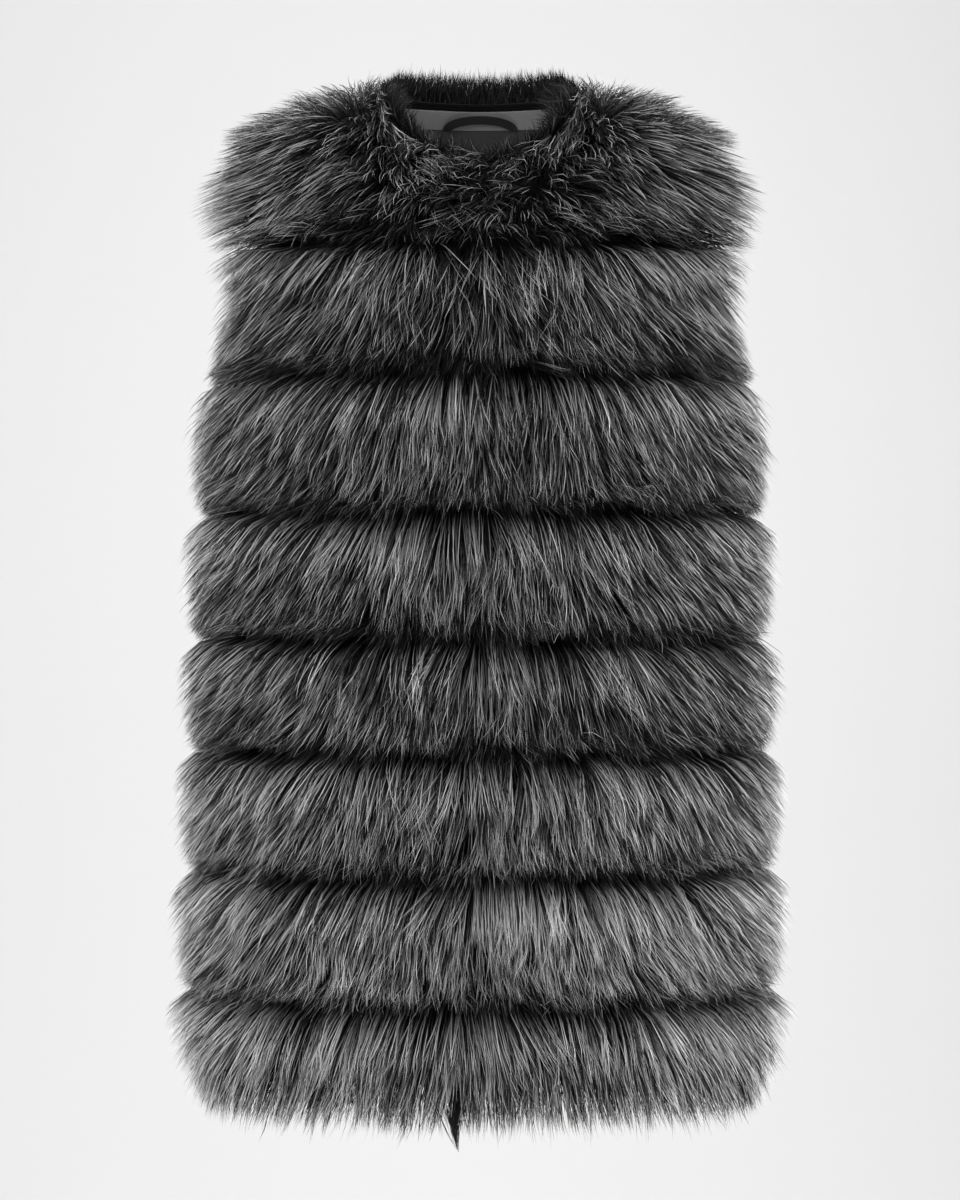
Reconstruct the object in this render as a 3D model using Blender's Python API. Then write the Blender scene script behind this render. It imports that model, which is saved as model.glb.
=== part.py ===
"""A tiered faux fur vest in its worn, hollow form, with nobody in it.

Metres, +Z up. The front faces -Y and the wearer's left is at +X. The origin is the middle of the
shoulders, level with the neck ends of the shoulder seams. Each fur tier is a knitted backing and its
pile as one closed wall: plain on the inside, and as far out as the hair reaches on the outside.
"""

import math
from typing import NamedTuple

import bmesh
import bpy
from mathutils import Matrix, Vector

SEAM_GAP = 0.00035
PILE = 0.042
CLOTH = 0.0012

# Neck, shoulders and armholes, as cut
NECK_HALF = 0.070
FRONT_NECK_DROP = 0.060
BACK_NECK_DROP = 0.0
SHOULDER_HALF = 0.172
SHOULDER_SLOPE = 0.37
SHOULDER_SOFTENING = 0.020
SHOULDER_ROUND = 0.150
ARMHOLE_HALF = 0.158
UNDERARM_CURVE = 1.15
SQUARENESS = 2.3

# How far the hair reaches past the cut edges. Past an armhole it leans outwards, and this share of the
# cloth's own turn towards the shoulder seams' plane is left, so that the armhole stays open.
FRONT_NECK_REACH = 0.008
NECK_SIDE_REACH = 0.009
BACK_NECK_REACH = 0.017
NECK_LEAN = 0.7
LIP_FULLNESS = 0.45
LIP_TURN = 0.25

# Heights of the seams under tiers 1 to 7, and of the hem
SEAMS = (-0.122, -0.2175, -0.322, -0.417, -0.504, -0.595, -0.688)
HEM = -0.750
UNDERARM = SEAMS[1]

COLUMNS = 8
NECK_SHARE = 0.5
CENTRE_FRONT_PILE = 0.82

# The hanger loop, sewn into the seam under the facing
LOOP_HALF_SPAN = 0.0275
LOOP_RISE = 0.0095
LOOP_WIDTH = 0.0058
LOOP_BEHIND = 0.0024
LOOP_STAND_OFF = 0.0020
LOOP_STEPS = 20


class Section(NamedTuple):
    """Half width, front depth and back depth of the cloth at one height."""

    z: float
    half_width: float
    front: float
    back: float


SECTIONS = (
    Section(0.040, 0.186, 0.086, 0.082),
    Section(-0.060, 0.184, 0.094, 0.096),
    Section(-0.122, 0.180, 0.105, 0.105),
    Section(-0.2175, 0.180, 0.116, 0.109),
    Section(-0.322, 0.185, 0.114, 0.106),
    Section(-0.417, 0.188, 0.110, 0.104),
    Section(-0.504, 0.191, 0.112, 0.109),
    Section(-0.595, 0.194, 0.117, 0.117),
    Section(-0.688, 0.1965, 0.121, 0.122),
    Section(-0.760, 0.197, 0.123, 0.124),
)


class Ridge(NamedTuple):
    """One row of a tier: its share of the way down, its share of the pile, how far the hair hangs
    below that row and past the armhole there, and what an arm leaves of its pile at the edge."""

    down: float
    pile: float
    hang: float = 0.0
    past_armhole: float = 0.0
    edge_pile: float = 1.0


YOKE_ROWS = (
    Ridge(0.0, 0.50, hang=0.000, past_armhole=0.032),
    Ridge(0.14, 0.64, hang=0.001, past_armhole=0.028),
    Ridge(0.34, 0.82, hang=0.003, past_armhole=0.026),
    Ridge(0.62, 0.98, hang=0.005, past_armhole=0.037),
    Ridge(0.86, 0.92, hang=0.007, past_armhole=0.038),
    Ridge(1.0, 0.72, hang=0.009, past_armhole=0.036),
)
ARMHOLE_ROWS = (
    Ridge(0.0, 0.72, hang=0.009, past_armhole=0.036),
    Ridge(0.14, 0.88, hang=0.009, past_armhole=0.034, edge_pile=0.93),
    Ridge(0.34, 0.99, hang=0.009, past_armhole=0.014, edge_pile=0.84),
    Ridge(0.62, 1.00, hang=0.009, past_armhole=0.006, edge_pile=0.80),
    Ridge(0.84, 0.92, hang=0.009, past_armhole=0.004, edge_pile=0.82),
    Ridge(0.95, 0.80, hang=0.009, past_armhole=0.002, edge_pile=0.91),
    Ridge(1.0, 0.72, hang=0.009),
)
BODY_ROWS = (
    Ridge(0.0, 0.72, hang=0.009),
    Ridge(0.14, 0.88, hang=0.009),
    Ridge(0.34, 1.00, hang=0.009),
    Ridge(0.62, 1.00, hang=0.009),
    Ridge(0.86, 0.90, hang=0.009),
    Ridge(1.0, 0.72, hang=0.009),
)
HEM_ROWS = (
    Ridge(0.0, 0.72, hang=0.009),
    Ridge(0.14, 0.88, hang=0.009),
    Ridge(0.34, 1.00, hang=0.009),
    Ridge(0.62, 0.99, hang=0.010),
    Ridge(0.86, 0.86, hang=0.016),
    Ridge(1.0, 0.60, hang=0.029),
)
TIERS = (YOKE_ROWS, ARMHOLE_ROWS, BODY_ROWS, BODY_ROWS, BODY_ROWS, BODY_ROWS, BODY_ROWS, HEM_ROWS)
FACING_ROW = 1

FRONT, BACK = -1, 1


def section_at(z):
    """The sections joined by smooth curves: a cubic between each two, with the slope of its neighbours."""
    k = 0
    while k < len(SECTIONS) - 2 and z < SECTIONS[k + 1].z:
        k += 1
    upper, lower = SECTIONS[k], SECTIONS[k + 1]
    before, after = SECTIONS[max(k - 1, 0)], SECTIONS[min(k + 2, len(SECTIONS) - 1)]
    run = lower.z - upper.z
    t = min(max((z - upper.z) / run, 0.0), 1.0)
    values = [z]
    for a, b, c, d in zip(before[1:], upper[1:], lower[1:], after[1:]):
        slope_b = (c - a) / (lower.z - before.z) * run
        slope_c = (d - b) / (after.z - upper.z) * run
        values.append(
            (2 * t**3 - 3 * t**2 + 1) * b
            + (t**3 - 2 * t**2 + t) * slope_b
            + (3 * t**2 - 2 * t**3) * c
            + (t**3 - t**2) * slope_c
        )
    return Section(*values)


def shoulder_height(x):
    """Height of the shoulder line at x: it falls outwards and passes through zero at the neck."""
    return SHOULDER_SLOPE * (math.hypot(NECK_HALF, SHOULDER_SOFTENING) - math.hypot(x, SHOULDER_SOFTENING))


def depth_at(x, z, side):
    """How far the cloth stands from the shoulder seams' plane, on the front or the back."""
    section = section_at(z)
    reach = section.front if side == FRONT else section.back
    across = max(0.0, 1 - (abs(x) / section.half_width) ** SQUARENESS) ** (1 / SQUARENESS)
    fall = shoulder_height(x) - z
    rounding = min(max(1 - fall / SHOULDER_ROUND, 0.0), 1.0)
    return reach * across * math.sqrt(1 - rounding * rounding)


def on_form(x, z, side):
    """The point of the worn form at x and z, and its outward unit normal."""
    y = side * depth_at(x, z, side)
    step = 0.0002

    def level(x, y, z):
        return y * y - depth_at(x, z, side) ** 2

    slope = Vector(
        (
            level(x + step, y, z) - level(x - step, y, z),
            level(x, y + step, z) - level(x, y - step, z),
            level(x, y, z + step) - level(x, y, z - step),
        )
    )
    return Vector((x, y, z)), slope.normalized()


def edge_half(z):
    """Half width of a panel at height z: to the armhole's edge, or below it to the side seam."""
    if z >= SEAMS[0]:
        return ARMHOLE_HALF
    at_side = section_at(UNDERARM).half_width
    if z <= UNDERARM + SEAM_GAP:
        return section_at(z).half_width
    rise = (z - UNDERARM) / (SEAMS[0] - UNDERARM)
    return at_side - (at_side - ARMHOLE_HALF) * rise**UNDERARM_CURVE


def level_row(u, z):
    """x and z of column u on a row of constant height. The armhole crowds the outer columns most."""
    half_width = section_at(z).half_width
    cut_off = 1 - math.asin(min(1.0, edge_half(z) / half_width)) / (math.pi / 2)
    return half_width * math.sin(math.pi / 2 * u * (1 - cut_off * u)), z


def top_edge(u, side):
    """x and z of column u on the neckline and then the shoulder seam."""
    if u <= NECK_SHARE:
        turn = u / NECK_SHARE * math.pi / 2
        drop = FRONT_NECK_DROP if side == FRONT else BACK_NECK_DROP
        return NECK_HALF * math.sin(turn), -drop * math.cos(turn)
    x = NECK_HALF + (SHOULDER_HALF - NECK_HALF) * (u - NECK_SHARE) / (1 - NECK_SHARE)
    return x, shoulder_height(x)


def tier_ends(tier):
    """The heights between which a tier below the yoke lies, half a seam gap in from its seams."""
    lower = SEAMS[tier] + SEAM_GAP / 2 if tier < len(SEAMS) else HEM
    return SEAMS[tier - 1] - SEAM_GAP / 2, lower


def cloth_at(tier, u, down, side):
    """A point of the backing and its outward normal. u runs from 0 at the centre to 1 at the edge, and
    down from 0 to 1. Below the armholes the backing runs straight from seam to seam."""
    if tier > 1:
        upper, lower = (on_form(*level_row(u, z), side) for z in tier_ends(tier))
        return upper[0].lerp(lower[0], down), upper[1].lerp(lower[1], down).normalized()
    if tier == 1:
        top, low = tier_ends(tier)
        return on_form(*level_row(u, top + (low - top) * down), side)
    top = top_edge(u, side)
    low = level_row(u, SEAMS[0] + SEAM_GAP / 2)
    x, z = (a + (b - a) * down for a, b in zip(top, low))
    return on_form(x, z, side)


def seam_set_back(point, u, side, tier, down):
    """Moves a point off the centre front, side and shoulder seams by half a seam gap."""
    moved = point.copy()
    if side == FRONT and u == 0:
        moved.x += SEAM_GAP / 2
    at_side = u == 1 and (tier > 1 or (tier == 1 and down == 1))
    at_shoulder = tier == 0 and down == 0 and u >= NECK_SHARE
    if at_side or at_shoulder:
        moved.y += side * SEAM_GAP / 2
    return moved


def neck_reach(u, side):
    """How far and which way the hair stands past the neckline at column u: upright at the centre, and
    leaning inwards over the shoulder seam's neck end."""
    turn = u / NECK_SHARE * math.pi / 2
    centre_reach = FRONT_NECK_REACH if side == FRONT else BACK_NECK_REACH
    reach = NECK_SIDE_REACH + (centre_reach - NECK_SIDE_REACH) * math.cos(turn)
    return Vector((-math.sin(NECK_LEAN * turn), 0, math.cos(NECK_LEAN * turn))) * reach


def tier_row(tier, ridge, side, columns):
    """One row of a tier as (inner points, outer points). The outer list has one more point at each
    outside edge, where the hair rolls over it. columns is -COLUMNS..COLUMNS or 0..COLUMNS."""
    inner, outer = [], []
    for column in columns:
        u, mirror = abs(column) / COLUMNS, -1 if column < 0 else 1
        flip = Vector((mirror, 1, 1))
        base, away = cloth_at(tier, u, ridge.down, side)
        base = seam_set_back(base, u, side, tier, ridge.down)
        squeeze = (1 - ridge.edge_pile) * max(0, 2 * u - 1) ** 2
        pile = PILE * ridge.pile * (1 - squeeze)
        if side == FRONT and u == 0:
            pile *= CENTRE_FRONT_PILE
            away = Vector((0, away.y, away.z)).normalized()
        if u == 1 and (base.y == side * SEAM_GAP / 2):
            away = Vector((away.x, 0, away.z)).normalized()
        tip = base + away * pile + Vector((0, 0, -ridge.hang))
        if tier == 0 and ridge.down == 0 and u <= NECK_SHARE:
            tip += neck_reach(u, side)
        inner.append(base * flip)
        if u < 1:
            outer.append(tip * flip)
            continue
        along = base - cloth_at(tier, 1 - 1 / COLUMNS / 4, ridge.down, side)[0]
        along.y *= LIP_TURN
        past = along.normalized() * ridge.past_armhole
        roll = [tip + past * LIP_FULLNESS, base + away * pile * LIP_FULLNESS + past]
        if ridge.past_armhole == 0:
            roll[1] = base + (tip - base) * LIP_FULLNESS
        outer += [p * flip for p in (roll if mirror > 0 else reversed(roll))]
    return inner, outer


def add_quad(bm, a, b, c, d):
    """A four-sided patch as two triangles that always share the edge from a to c."""
    bm.faces.new((a, b, c))
    bm.faces.new((a, c, d))


def loft(rows, rolled_start, rolled_end):
    """A closed wall from rows of (inner points, outer points), with an end cap at each last row.
    rolled_start and rolled_end say that the outer row has one more point there than the inner one."""
    bm = bmesh.new()
    rings = [[[bm.verts.new(p) for p in line] for line in row] for row in rows]
    for (inner, outer), (low_inner, low_outer) in zip(rings, rings[1:]):
        for i in range(len(inner) - 1):
            add_quad(bm, inner[i], inner[i + 1], low_inner[i + 1], low_inner[i])
        for i in range(len(outer) - 1):
            add_quad(bm, outer[i], outer[i + 1], low_outer[i + 1], low_outer[i])
        for end in (0, -1):
            add_quad(bm, inner[end], outer[end], low_outer[end], low_inner[end])
    for inner, outer in (rings[0], rings[-1]):
        shift = 1 if rolled_start else 0
        for i in range(len(inner) - 1):
            add_quad(bm, inner[i], outer[i + shift], outer[i + shift + 1], inner[i + 1])
        if rolled_start:
            bm.faces.new((inner[0], outer[0], outer[1]))
        if rolled_end:
            bm.faces.new((inner[-1], outer[-2], outer[-1]))
    bmesh.ops.recalc_face_normals(bm, faces=bm.faces[:])
    return bm


def add_part(name, bm, material, collection):
    """Links a finished bmesh as a named object of the vest."""
    mesh = bpy.data.meshes.new(name)
    bm.to_mesh(mesh)
    bm.free()
    mesh.shade_smooth()
    mesh.set_sharp_from_angle(angle=math.radians(40))
    mesh.materials.append(material)
    part = bpy.data.objects.new(name, mesh)
    collection.objects.link(part)
    return part


def mirrored(bm):
    """The same wall on the wearer's other side."""
    bmesh.ops.transform(bm, matrix=Matrix.Diagonal((-1, 1, 1, 1)), verts=bm.verts[:])
    bmesh.ops.reverse_faces(bm, faces=bm.faces[:])
    return bm


def front_tier(tier):
    """A tier of the wearer's left front, from the centre front to the armhole or side seam."""
    columns = range(COLUMNS + 1)
    rows = [tier_row(tier, ridge, FRONT, columns) for ridge in TIERS[tier]]
    return loft(rows, rolled_start=False, rolled_end=True)


def back_tier(tier):
    """A tier of the back, from one armhole or side seam to the other."""
    columns = range(-COLUMNS, COLUMNS + 1)
    rows = [tier_row(tier, ridge, BACK, columns) for ridge in TIERS[tier]]
    return loft(rows, rolled_start=True, rolled_end=True)


def lining_steps(first, last):
    """The (tier, share down) rows of a lining piece: all rows of the curved top two tiers, and the
    seams alone below them, where the backing runs straight from seam to seam."""
    steps = [(0, ridge.down) for ridge in YOKE_ROWS] + [(1, ridge.down) for ridge in ARMHOLE_ROWS[1:]]
    steps += [(tier, 1.0) for tier in range(2, len(TIERS) - 1)]
    steps.append((len(TIERS) - 1, HEM_ROWS[-2].down))
    return steps[first:last]


def lining_wall(side, columns, first=0, last=None):
    """A thin wall from the backing's own points, moved in."""
    rows = []
    for tier, down in lining_steps(first, last):
        near, far = [], []
        for column in columns:
            u, flip = abs(column) / COLUMNS, Vector((-1 if column < 0 else 1, 1, 1))
            base, away = cloth_at(tier, u, down, side)
            base = seam_set_back(base, u, side, tier, down)
            if side == FRONT and u == 0:
                away.x = 0
            if u == 1 and base.y == side * SEAM_GAP / 2:
                away.y = 0
            away.normalize()
            near.append((base - away * SEAM_GAP) * flip)
            far.append((base - away * (SEAM_GAP + CLOTH)) * flip)
        rows.append((far, near))
    return rows


def drop_row(rows, gap):
    """Lowers a piece's first row by the seam gap, so that it clears the piece sewn above it."""
    first = tuple([p - Vector((0, 0, gap)) for p in line] for line in rows[0])
    return [first, *rows[1:]]


def hanger_loop():
    """A flat ribbon arched over the inside of the facing, its ends at the seam under the facing."""
    seam_z = cloth_at(0, 0, YOKE_ROWS[FACING_ROW].down, BACK)[0].z
    rows = []
    for step in range(LOOP_STEPS + 1):
        turn = math.pi * step / LOOP_STEPS
        rim = Vector((math.cos(turn), math.sin(turn)))
        centre = Vector((LOOP_HALF_SPAN * rim.x, seam_z + LOOP_RISE * rim.y))
        across = Vector((rim.x * LOOP_RISE, rim.y * LOOP_HALF_SPAN)).normalized() * LOOP_WIDTH / 2
        near, far = [], []
        for place in (centre - across, centre + across):
            spot, away = on_form(*place, BACK)
            off = LOOP_BEHIND + LOOP_STAND_OFF * math.sin(turn)
            near.append(spot - away * off)
            far.append(spot - away * (off + CLOTH))
        rows.append((near, far))
    return loft(rows, rolled_start=False, rolled_end=False)


def clear_scene():
    for thing in list(bpy.data.objects):
        bpy.data.objects.remove(thing)


def new_material(name, colour, roughness):
    material = bpy.data.materials.new(name)
    material.use_nodes = True
    shader = material.node_tree.nodes["Principled BSDF"]
    shader.inputs["Base Color"].default_value = (*colour, 1)
    shader.inputs["Roughness"].default_value = roughness
    shader.inputs["Metallic"].default_value = 0.0
    return material


def build_vest():
    clear_scene()
    vest = bpy.data.collections.new("faux_fur_vest")
    bpy.context.scene.collection.children.link(vest)
    fur = new_material("fur", (0.055, 0.055, 0.058), 0.70)
    satin = new_material("satin", (0.050, 0.050, 0.053), 0.38)
    ribbon = new_material("ribbon", (0.018, 0.018, 0.020), 0.45)
    for tier in range(len(TIERS)):
        add_part(f"front_left_tier_{tier + 1}", front_tier(tier), fur, vest)
        add_part(f"front_right_tier_{tier + 1}", mirrored(front_tier(tier)), fur, vest)
        add_part(f"back_tier_{tier + 1}", back_tier(tier), fur, vest)
    half, whole = range(COLUMNS + 1), range(-COLUMNS, COLUMNS + 1)
    front_lining = lining_wall(FRONT, half)
    add_part("lining_front_left", loft(front_lining, False, False), satin, vest)
    add_part("lining_front_right", mirrored(loft(front_lining, False, False)), satin, vest)
    facing = lining_wall(BACK, whole, last=FACING_ROW + 1)
    add_part("back_neck_facing", loft(facing, False, False), satin, vest)
    back_lining = drop_row(lining_wall(BACK, whole, first=FACING_ROW), SEAM_GAP)
    add_part("lining_back", loft(back_lining, False, False), satin, vest)
    add_part("hanger_loop", hanger_loop(), ribbon, vest)


build_vest()
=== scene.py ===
"""A tiered faux fur vest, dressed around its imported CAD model, as a Blender add-on that runs as a script.

Metres, +Z up, front at -Y. Each fur tier is a knitted backing with its own hairs, and the lining, the
neck facing and the hanger loop are thin cloth.
"""

import math
from typing import NamedTuple

import bmesh
import bpy
import numpy as np
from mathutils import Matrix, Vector


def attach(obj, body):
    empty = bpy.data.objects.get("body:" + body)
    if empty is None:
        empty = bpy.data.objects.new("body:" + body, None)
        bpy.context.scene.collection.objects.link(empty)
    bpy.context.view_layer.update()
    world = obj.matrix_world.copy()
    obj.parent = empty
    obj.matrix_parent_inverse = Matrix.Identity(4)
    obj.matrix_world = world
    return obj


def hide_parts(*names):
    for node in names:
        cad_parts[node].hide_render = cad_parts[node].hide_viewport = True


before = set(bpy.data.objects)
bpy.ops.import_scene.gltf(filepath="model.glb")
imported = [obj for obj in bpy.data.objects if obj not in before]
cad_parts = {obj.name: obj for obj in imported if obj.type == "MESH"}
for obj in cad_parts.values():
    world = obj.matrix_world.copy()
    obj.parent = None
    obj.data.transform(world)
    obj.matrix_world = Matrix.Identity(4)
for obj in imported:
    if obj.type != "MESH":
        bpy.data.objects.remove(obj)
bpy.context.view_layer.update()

bl_info = {
    "name": "Faux fur vest",
    "version": (1, 0, 0),
    "blender": (4, 5, 0),
    "location": "View3D > Sidebar > Vest",
    "description": "Builds a tiered faux fur vest with its lining, facing, hanger loop and studio",
    "category": "Object",
}

FRONT, BACK = -1, 1

# The worn form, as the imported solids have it
SEAM_GAP = 0.00035
PILE = 0.042
CLOTH = 0.0012
NECK_HALF = 0.070
FRONT_NECK_DROP = 0.060
BACK_NECK_DROP = 0.0
SHOULDER_HALF = 0.172
SHOULDER_SLOPE = 0.37
SHOULDER_SOFTENING = 0.020
SHOULDER_ROUND = 0.150
ARMHOLE_HALF = 0.158
UNDERARM_CURVE = 1.15
SQUARENESS = 2.3
FRONT_NECK_REACH = 0.008
NECK_SIDE_REACH = 0.009
BACK_NECK_REACH = 0.017
NECK_LEAN = 0.7
LIP_TURN = 0.25
NECK_SHARE = 0.5
SEAMS = (-0.122, -0.2175, -0.322, -0.417, -0.504, -0.595, -0.688)
HEM = -0.750
UNDERARM = SEAMS[1]
FACING_TOP = 0.035
FACING_DOWN = 0.14
LOOP_HALF_SPAN = 0.0275
LOOP_RISE = 0.0095
LOOP_WIDTH = 0.0058
LOOP_BEHIND = 0.0024
LOOP_STAND_OFF = 0.0020

# Columns: height, half width, front depth, back depth
SECTIONS = np.array(
    (
        (0.040, 0.186, 0.086, 0.082),
        (-0.060, 0.184, 0.094, 0.096),
        (-0.122, 0.180, 0.105, 0.105),
        (-0.2175, 0.180, 0.116, 0.109),
        (-0.322, 0.185, 0.114, 0.106),
        (-0.417, 0.188, 0.110, 0.104),
        (-0.504, 0.191, 0.112, 0.109),
        (-0.595, 0.194, 0.117, 0.117),
        (-0.688, 0.1965, 0.121, 0.122),
        (-0.760, 0.197, 0.123, 0.124),
    )
)

# Shares of the way down a tier that its pile is given at
PILE_AT = (0.0, 0.14, 0.34, 0.62, 0.86, 1.0)


def pile_table(shares, piles, droops=0.009, reaches=0.0, edges=1.0):
    """Columns for pelt_at: share of the way down a tier, share of the pile, droop, reach past the armhole,
    and what an arm leaves of the pile at the edge."""
    return np.stack(np.broadcast_arrays(shares, piles, droops, reaches, edges), axis=1)


YOKE_PILE = pile_table(
    PILE_AT,
    (0.50, 0.64, 0.82, 0.98, 0.92, 0.72),
    droops=(0.0, 0.001, 0.003, 0.005, 0.007, 0.009),
    reaches=(0.032, 0.028, 0.026, 0.037, 0.038, 0.036),
)
ARMHOLE_PILE = pile_table(
    (0.0, 0.14, 0.34, 0.62, 0.84, 0.95, 1.0),
    (0.72, 0.88, 0.99, 1.0, 0.92, 0.80, 0.72),
    reaches=(0.036, 0.034, 0.014, 0.006, 0.004, 0.002, 0.0),
    edges=(1.0, 0.93, 0.84, 0.80, 0.82, 0.91, 1.0),
)
BODY_PILE = pile_table(PILE_AT, (0.72, 0.88, 1.0, 1.0, 0.90, 0.72))
HEM_PILE = pile_table(
    PILE_AT,
    (0.72, 0.88, 1.0, 0.99, 0.86, 0.60),
    droops=(0.009, 0.009, 0.009, 0.010, 0.016, 0.029),
)
TIERS = (YOKE_PILE, ARMHOLE_PILE, *[BODY_PILE] * 5, HEM_PILE)
YOKE, HEM_TIER = 0, len(TIERS) - 1

# Where the back lining starts and each lining ends, in tiers down
LINING_TOP = FACING_DOWN + 0.004
LINING_END = HEM_TIER + HEM_PILE[-2, 0]

# How far a hair's tip may run past a tier's own edge, as shares of its width or height
LIP_SPAN = 0.15
NECK_SPAN = 0.12
END_SPAN = 0.14
TIER_HEIGHT = 0.095

# What the pile loses at the outer edge of an armhole, below a tier, below the hem and, over a share of
# the columns, at the centre front
LIP_THINNING = 0.35
END_THINNING = 0.45
HEM_THINNING = 0.85
OPENING_THINNING = 0.18
OPENING_COLUMNS = 0.125

# How much farther hair hangs past the hem than past another tier, and the share of its droop that a
# root already has
HEM_STRETCH = 1.6
ROOT_DROOP = 0.4


class Cut(NamedTuple):
    """One of the three parts that the vest is cut in. A half lies on its wearer's left unless it is
    turned. lean is how far the hair beside the neck leans into its opening, and light is painted light:
    how much paler or darker the yoke's outer hair is coloured on that side, for the light on that shoulder."""

    label: str
    side: int
    whole: bool
    turn: int
    seed: int
    lean: float
    light: float


# The last number of each cut is painted light on its shoulder: the wearer's right yoke is coloured paler
# than the left
LEFT_FRONT = Cut("front_left", FRONT, False, 1, 1, 0.024, 0.97)
RIGHT_FRONT = Cut("front_right", FRONT, False, -1, 2, 0.013, 1.09)
WHOLE_BACK = Cut("back", BACK, True, 1, 3, 0.0, 1.0)


def section_at(z):
    """Half width, front depth and back depth of the cloth at heights z."""
    last = len(SECTIONS) - 1
    k = np.clip(np.searchsorted(-SECTIONS[:, 0], -z) - 1, 0, last - 1)
    upper, lower = SECTIONS[k], SECTIONS[k + 1]
    before, after = SECTIONS[np.maximum(k - 1, 0)], SECTIONS[np.minimum(k + 2, last)]
    run = (lower[:, 0] - upper[:, 0])[:, None]
    t = np.clip((z[:, None] - upper[:, :1]) / run, 0, 1)
    slope_upper = (lower - before) / (lower - before)[:, :1] * run
    slope_lower = (after - upper) / (after - upper)[:, :1] * run
    values = (
        (2 * t**3 - 3 * t**2 + 1) * upper
        + (t**3 - 2 * t**2 + t) * slope_upper
        + (3 * t**2 - 2 * t**3) * lower
        + (t**3 - t**2) * slope_lower
    )
    return values[:, 1:].T


def shoulder_height(x):
    """Height of the shoulder line at x: it falls outwards and passes through zero at the neck."""
    return SHOULDER_SLOPE * (math.hypot(NECK_HALF, SHOULDER_SOFTENING) - np.hypot(x, SHOULDER_SOFTENING))


def depth_at(x, z, side):
    """How far the cloth stands from the shoulder seams' plane, on the front or the back."""
    half_width, front, back = section_at(z)
    reach = front if side == FRONT else back
    across = np.maximum(0.0, 1 - (np.abs(x) / half_width) ** SQUARENESS) ** (1 / SQUARENESS)
    rounding = np.clip(1 - (shoulder_height(x) - z) / SHOULDER_ROUND, 0.0, 1.0)
    return reach * across * np.sqrt(1 - rounding * rounding)


def unit(vectors):
    """The vectors, each made one long."""
    return vectors / np.maximum(np.linalg.norm(vectors, axis=-1, keepdims=True), 1e-9)


def on_form(x, z, side):
    """Points of the worn form at x and z, and its outward unit normals."""
    y = side * depth_at(x, z, side)
    step = 0.0002

    def level(x, y, z):
        return y * y - depth_at(x, z, side) ** 2

    slope = (
        level(x + step, y, z) - level(x - step, y, z),
        level(x, y + step, z) - level(x, y - step, z),
        level(x, y, z + step) - level(x, y, z - step),
    )
    return np.stack((x, y, z), axis=1), unit(np.stack(slope, axis=1))


def half_width_at(z):
    """Half width of the cloth at heights z."""
    return section_at(z)[0]


def edge_half(z):
    """Half width of a panel at heights z: to the armhole's edge, or below it to the side seam."""
    at_side = half_width_at(np.array([UNDERARM]))[0]
    rise = np.clip((z - UNDERARM) / (SEAMS[0] - UNDERARM), 0, 1)
    armhole = at_side - (at_side - ARMHOLE_HALF) * rise**UNDERARM_CURVE
    return np.where(z <= UNDERARM + SEAM_GAP, half_width_at(z), armhole)


def level_row(u, z):
    """x of columns u on rows of height z. The armhole crowds the outer columns most."""
    half_width = half_width_at(z)
    cut_off = 1 - np.arcsin(np.minimum(1.0, edge_half(z) / half_width)) / (math.pi / 2)
    return half_width * np.sin(math.pi / 2 * u * (1 - cut_off * u))


def top_edge(u, side):
    """x and z of columns u on the neckline and then the shoulder seam."""
    turn = np.minimum(u / NECK_SHARE, 1) * math.pi / 2
    drop = FRONT_NECK_DROP if side == FRONT else BACK_NECK_DROP
    along_seam = NECK_HALF + (SHOULDER_HALF - NECK_HALF) * (u - NECK_SHARE) / (1 - NECK_SHARE)
    x = np.where(u <= NECK_SHARE, NECK_HALF * np.sin(turn), along_seam)
    z = np.where(u <= NECK_SHARE, -drop * np.cos(turn), shoulder_height(along_seam))
    return x, z


def cloth_at(tier, u, down, side):
    """Points of a tier's backing and its outward normals. u runs from 0 at the centre to 1 at the
    edge, and down from 0 to 1. Below the armholes the backing runs straight from seam to seam."""
    u, down = np.broadcast_arrays(np.asarray(u, float), np.asarray(down, float))
    if tier == YOKE:
        top_x, top_z = top_edge(u, side)
        low_z = np.full_like(u, SEAMS[0])
        low_x = level_row(u, low_z)
        return on_form(top_x + (low_x - top_x) * down, top_z + (low_z - top_z) * down, side)
    top, low = SEAMS[tier - 1], (*SEAMS, HEM)[tier]
    if tier == 1:
        z = top + (low - top) * down
        return on_form(level_row(u, z), z, side)
    ends = []
    for height in (top, low):
        z = np.full_like(u, height)
        ends.append(on_form(level_row(u, z), z, side))
    share = down[:, None]
    points, normals = (a + (b - a) * share for a, b in zip(*ends))
    return points, unit(normals)


def neck_reach(u, side):
    """How far and which way the hair stands past the neckline at columns u."""
    turn = np.minimum(u / NECK_SHARE, 1) * math.pi / 2
    centre_reach = FRONT_NECK_REACH if side == FRONT else BACK_NECK_REACH
    reach = NECK_SIDE_REACH + (centre_reach - NECK_SIDE_REACH) * np.cos(turn)
    lean = np.stack((-np.sin(NECK_LEAN * turn), np.zeros_like(turn), np.cos(NECK_LEAN * turn)), axis=1)
    return lean * reach[:, None]


def mirrored(points, normals, sign):
    """Points and normals worked out for the wearer's left, on the side of the centre that sign gives."""
    flip = np.stack((sign, np.ones_like(sign), np.ones_like(sign)), axis=1)
    return points * flip, normals * flip


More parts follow.
